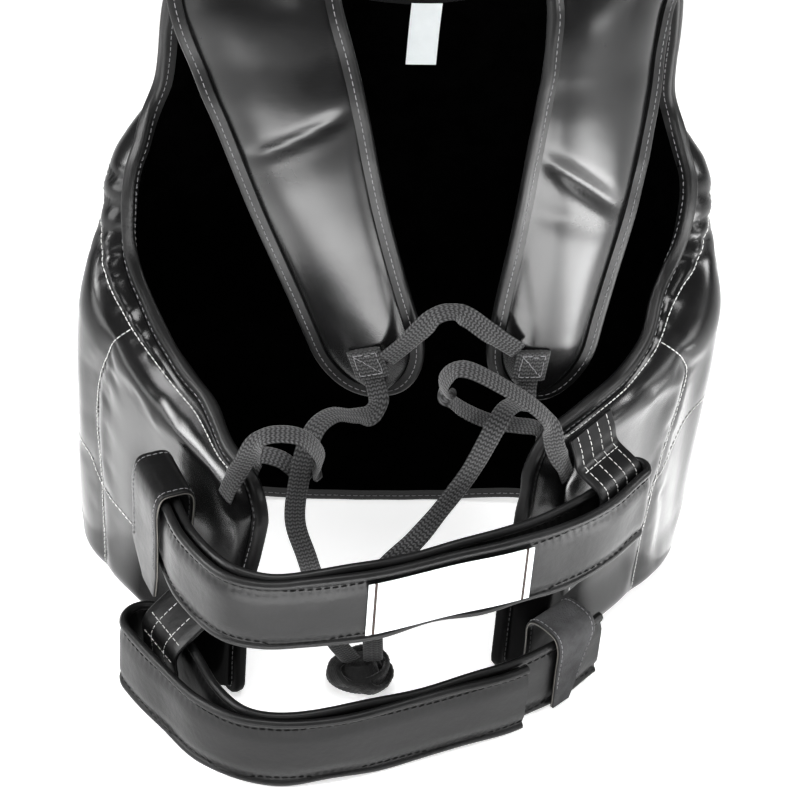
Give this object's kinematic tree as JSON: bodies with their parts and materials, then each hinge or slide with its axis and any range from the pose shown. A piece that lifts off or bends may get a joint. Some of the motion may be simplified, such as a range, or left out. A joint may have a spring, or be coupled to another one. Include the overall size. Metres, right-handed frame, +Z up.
{
  "type": "body protector",
  "caption": "Padded martial-arts body protector, a wrap-round chest and belly pad with shoulder straps, laces and closing belts at the open back.",
  "frame": {"origin": "centre of the footprint of everything but the laces, on the surface it stands on", "axes": "+Z up, +Y out of the chest, +X to the right of the picture"},
  "size_m": [0.4116, 0.2966, 0.5089],
  "materials": {
    "leather": "glossy black synthetic leather with a fine grain",
    "strap_leather": "glossy black synthetic leather, smooth and puffed",
    "belt_leather": "satin black synthetic leather",
    "binding": "satin black synthetic leather tape, stitched",
    "lace": "matt charcoal braid",
    "label": "matt white woven cloth, bare"
  },
  "bodies": {
    "root": {"body_shell": "leather", "edge_binding": "binding", "shoulder_strap_left": "strap_leather", "strap_binding_left": "binding", "strap_tab_left": "lace", "shoulder_strap_right": "strap_leather", "strap_binding_right": "binding", "strap_tab_right": "lace", "upper_belt": "belt_leather", "lower_belt": "belt_leather", "belt_label": "label", "belt_loop_right": "leather", "belt_loop_left": "leather", "keeper_flap_left": "leather", "keeper_flap_right": "leather", "size_label": "label", "cross_lace": "lace", "long_lace_left": "lace", "long_lace_right": "lace", "lace_loop_left": "lace", "lace_loop_right": "lace", "lace_knot": "lace"}
  },
  "joints": []
}
